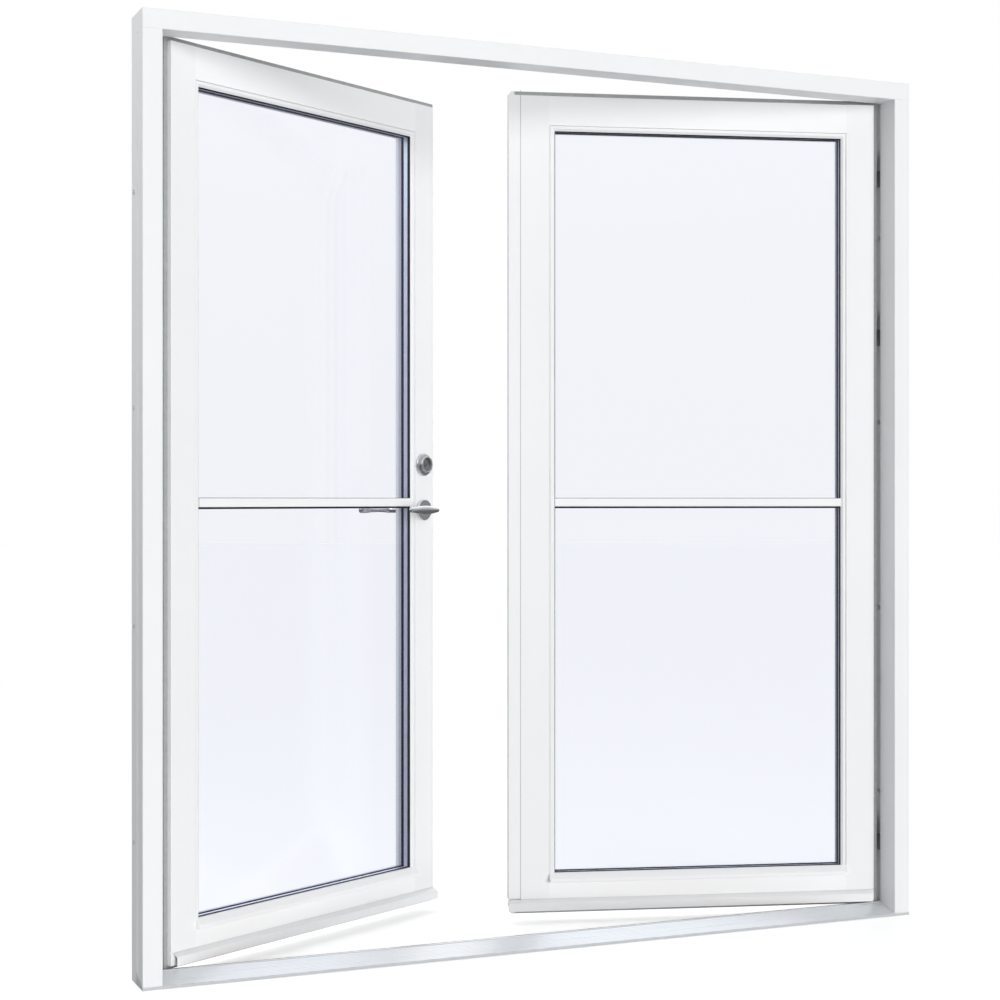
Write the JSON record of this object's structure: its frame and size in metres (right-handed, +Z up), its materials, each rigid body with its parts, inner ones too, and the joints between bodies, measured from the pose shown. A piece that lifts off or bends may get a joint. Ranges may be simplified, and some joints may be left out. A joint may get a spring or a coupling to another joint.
{
  "type": "inward-opening double casement door",
  "caption": "Pair of full-height glazed casement leaves in a white frame, opening inward, with lever lock, round cylinder, cover strip and aluminium threshold.",
  "frame": {"origin": "underside of the threshold, on the middle of the frame's width and depth", "axes": "+X along the head to the right seen from outside, +Y from outside into the room, +Z up"},
  "size_m": [1.933, 0.6015, 2.08],
  "materials": {
    "frame_paint": "white paint, semi-gloss, on pine",
    "leaf_paint": "white paint, semi-gloss, on pine",
    "threshold": "anodised, satin",
    "core": "oiled hardwood",
    "drip": "white powder coat",
    "glass": "clear float glass",
    "spacer": "satin aluminium",
    "gasket": "matte black rubber",
    "seal": "matte grey rubber",
    "hinge": "zinc plated",
    "chrome": "satin to bright chrome",
    "steel": "brushed",
    "brass": "satin, nickelled"
  },
  "bodies": {
    "left_leaf": {"active_bar_inside": "leaf_paint", "active_bar_outside": "leaf_paint", "active_bottom_rail": "leaf_paint", "active_cylinder_ring_inside": "chrome", "active_cylinder_ring_outside": "chrome", "active_drip_profile": "drip", "active_glass_inner": "glass", "active_glass_outer": "glass", "active_glass_spacer": "spacer", "active_glazing_beads": "leaf_paint", "active_glazing_gaskets": "gasket", "active_hinge_halves": "hinge", "active_hinge_stile": "leaf_paint", "active_leaf_seal": "seal", "active_lock_case": "steel", "active_lock_cylinder": "steel", "active_lock_face_plate": "steel", "active_lock_screws": "steel", "active_lock_stile": "leaf_paint", "active_rose_inside": "chrome", "active_rose_outside": "chrome", "active_sill_bead": "leaf_paint", "active_top_rail": "leaf_paint"},
    "cylinder_turn": {"active_key_plug": "brass", "active_thumb_turn": "chrome"},
    "lever_set": {"active_lever_inside": "chrome", "active_lever_outside": "chrome", "active_spindle": "steel"},
    "dead_bolt_body": {"dead_bolt": "steel"},
    "flush_bolt_bottom_body": {"flush_bolt_bottom": "steel"},
    "flush_bolt_top_body": {"flush_bolt_top": "steel"},
    "frame": {"frame_head": "frame_paint", "frame_hinge_halves_left": "hinge", "frame_hinge_halves_right": "hinge", "frame_jamb_left": "frame_paint", "frame_jamb_right": "frame_paint", "frame_keep_bottom": "steel", "frame_keep_top": "steel", "threshold_core": "core", "threshold_ramp": "threshold"},
    "latch_bolt_body": {"latch_bolt": "steel"},
    "right_leaf": {"passive_bar_inside": "leaf_paint", "passive_bar_outside": "leaf_paint", "passive_bottom_rail": "leaf_paint", "passive_cover_stile": "leaf_paint", "passive_cover_strip": "leaf_paint", "passive_drip_profile": "drip", "passive_glass_inner": "glass", "passive_glass_outer": "glass", "passive_glass_spacer": "spacer", "passive_glazing_beads": "leaf_paint", "passive_glazing_gaskets": "gasket", "passive_hinge_halves": "hinge", "passive_hinge_stile": "leaf_paint", "passive_leaf_seal": "seal", "passive_sill_bead": "leaf_paint", "passive_strike_plate": "steel", "passive_top_rail": "leaf_paint"}
  },
  "joints": [
    {"name": "left_leaf_hinge", "type": "hinge", "parent": "frame", "child": "left_leaf", "pos_m": [-0.9335, 0.0635, 0], "axis": [0, 0, 1], "range_deg": [-30, 65]},
    {"name": "right_leaf_hinge", "type": "hinge", "parent": "frame", "child": "right_leaf", "pos_m": [0.9335, 0.0635, 0], "axis": [0, 0, 1], "range_deg": [-80, 15]},
    {"name": "lever_turn", "type": "hinge", "parent": "left_leaf", "child": "lever_set", "pos_m": [-0.14639, 0.44519, 1.013], "axis": [0.5, -0.866, 0], "range_deg": [0, 45], "stiffness_Nm_per_rad": 1.2, "springref_deg": -34.38},
    {"name": "latch_slide", "type": "slide", "parent": "left_leaf", "child": "latch_bolt_body", "axis": [-0.866, -0.5, 0], "range_m": [0, 0.0125]},
    {"name": "cylinder_turning", "type": "hinge", "parent": "left_leaf", "child": "cylinder_turn", "pos_m": [-0.14639, 0.44519, 1.1265], "axis": [0.5, -0.866, 0], "range_deg": [0, 90]},
    {"name": "dead_bolt_slide", "type": "slide", "parent": "left_leaf", "child": "dead_bolt_body", "axis": [0.866, 0.5, 0], "range_m": [0, 0.02]},
    {"name": "flush_bolt_top_slide", "type": "slide", "parent": "right_leaf", "child": "flush_bolt_top_body", "axis": [0, 0, 1], "range_m": [0, 0.018]},
    {"name": "flush_bolt_bottom_slide", "type": "slide", "parent": "right_leaf", "child": "flush_bolt_bottom_body", "axis": [0, 0, -1], "range_m": [0, 0.018]}
  ],
  "couplings": [
    {"joint": "latch_slide", "follows": "lever_turn", "m_per_rad": 0.015278},
    {"joint": "cylinder_turning", "follows": "dead_bolt_slide", "rad_per_m": 78.5}
  ]
}
